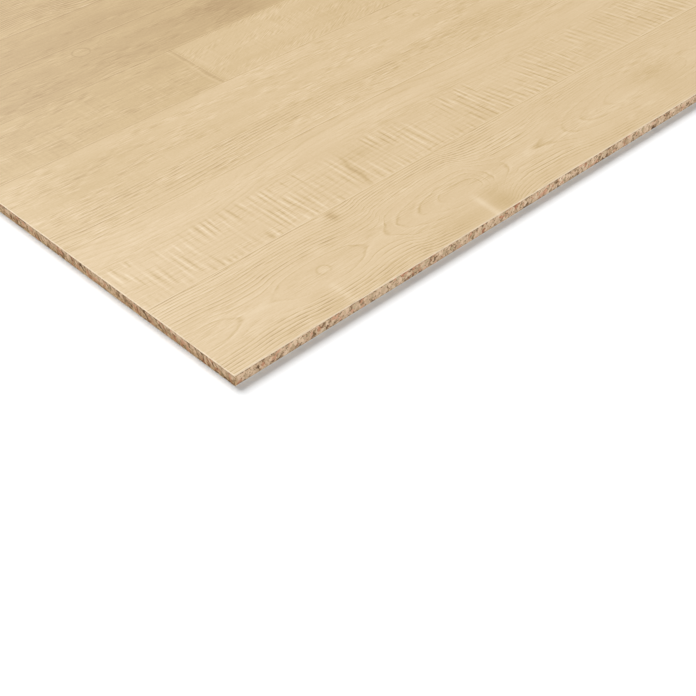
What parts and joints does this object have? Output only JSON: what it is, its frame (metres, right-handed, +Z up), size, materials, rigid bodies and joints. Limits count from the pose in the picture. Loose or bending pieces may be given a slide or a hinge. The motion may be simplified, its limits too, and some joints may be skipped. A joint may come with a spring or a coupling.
{
  "type": "decor-faced hardboard sheet",
  "caption": "Thin flat hardboard sheet with a pale maple plank print on its upper face, square sawn edges that show the pressed wood core, and a plain backing face.",
  "frame": {"origin": "middle of the underside, where the sheet rests", "axes": "+X along the sheet's length and the printed grain, +Y across it, +Z up out of the printed face"},
  "size_m": [1.22, 0.61, 0.006],
  "materials": {
    "board": "satin printed maple plank face, bare sawn brown edges"
  },
  "bodies": {
    "root": {"hardboard_sheet": "board"}
  },
  "joints": []
}
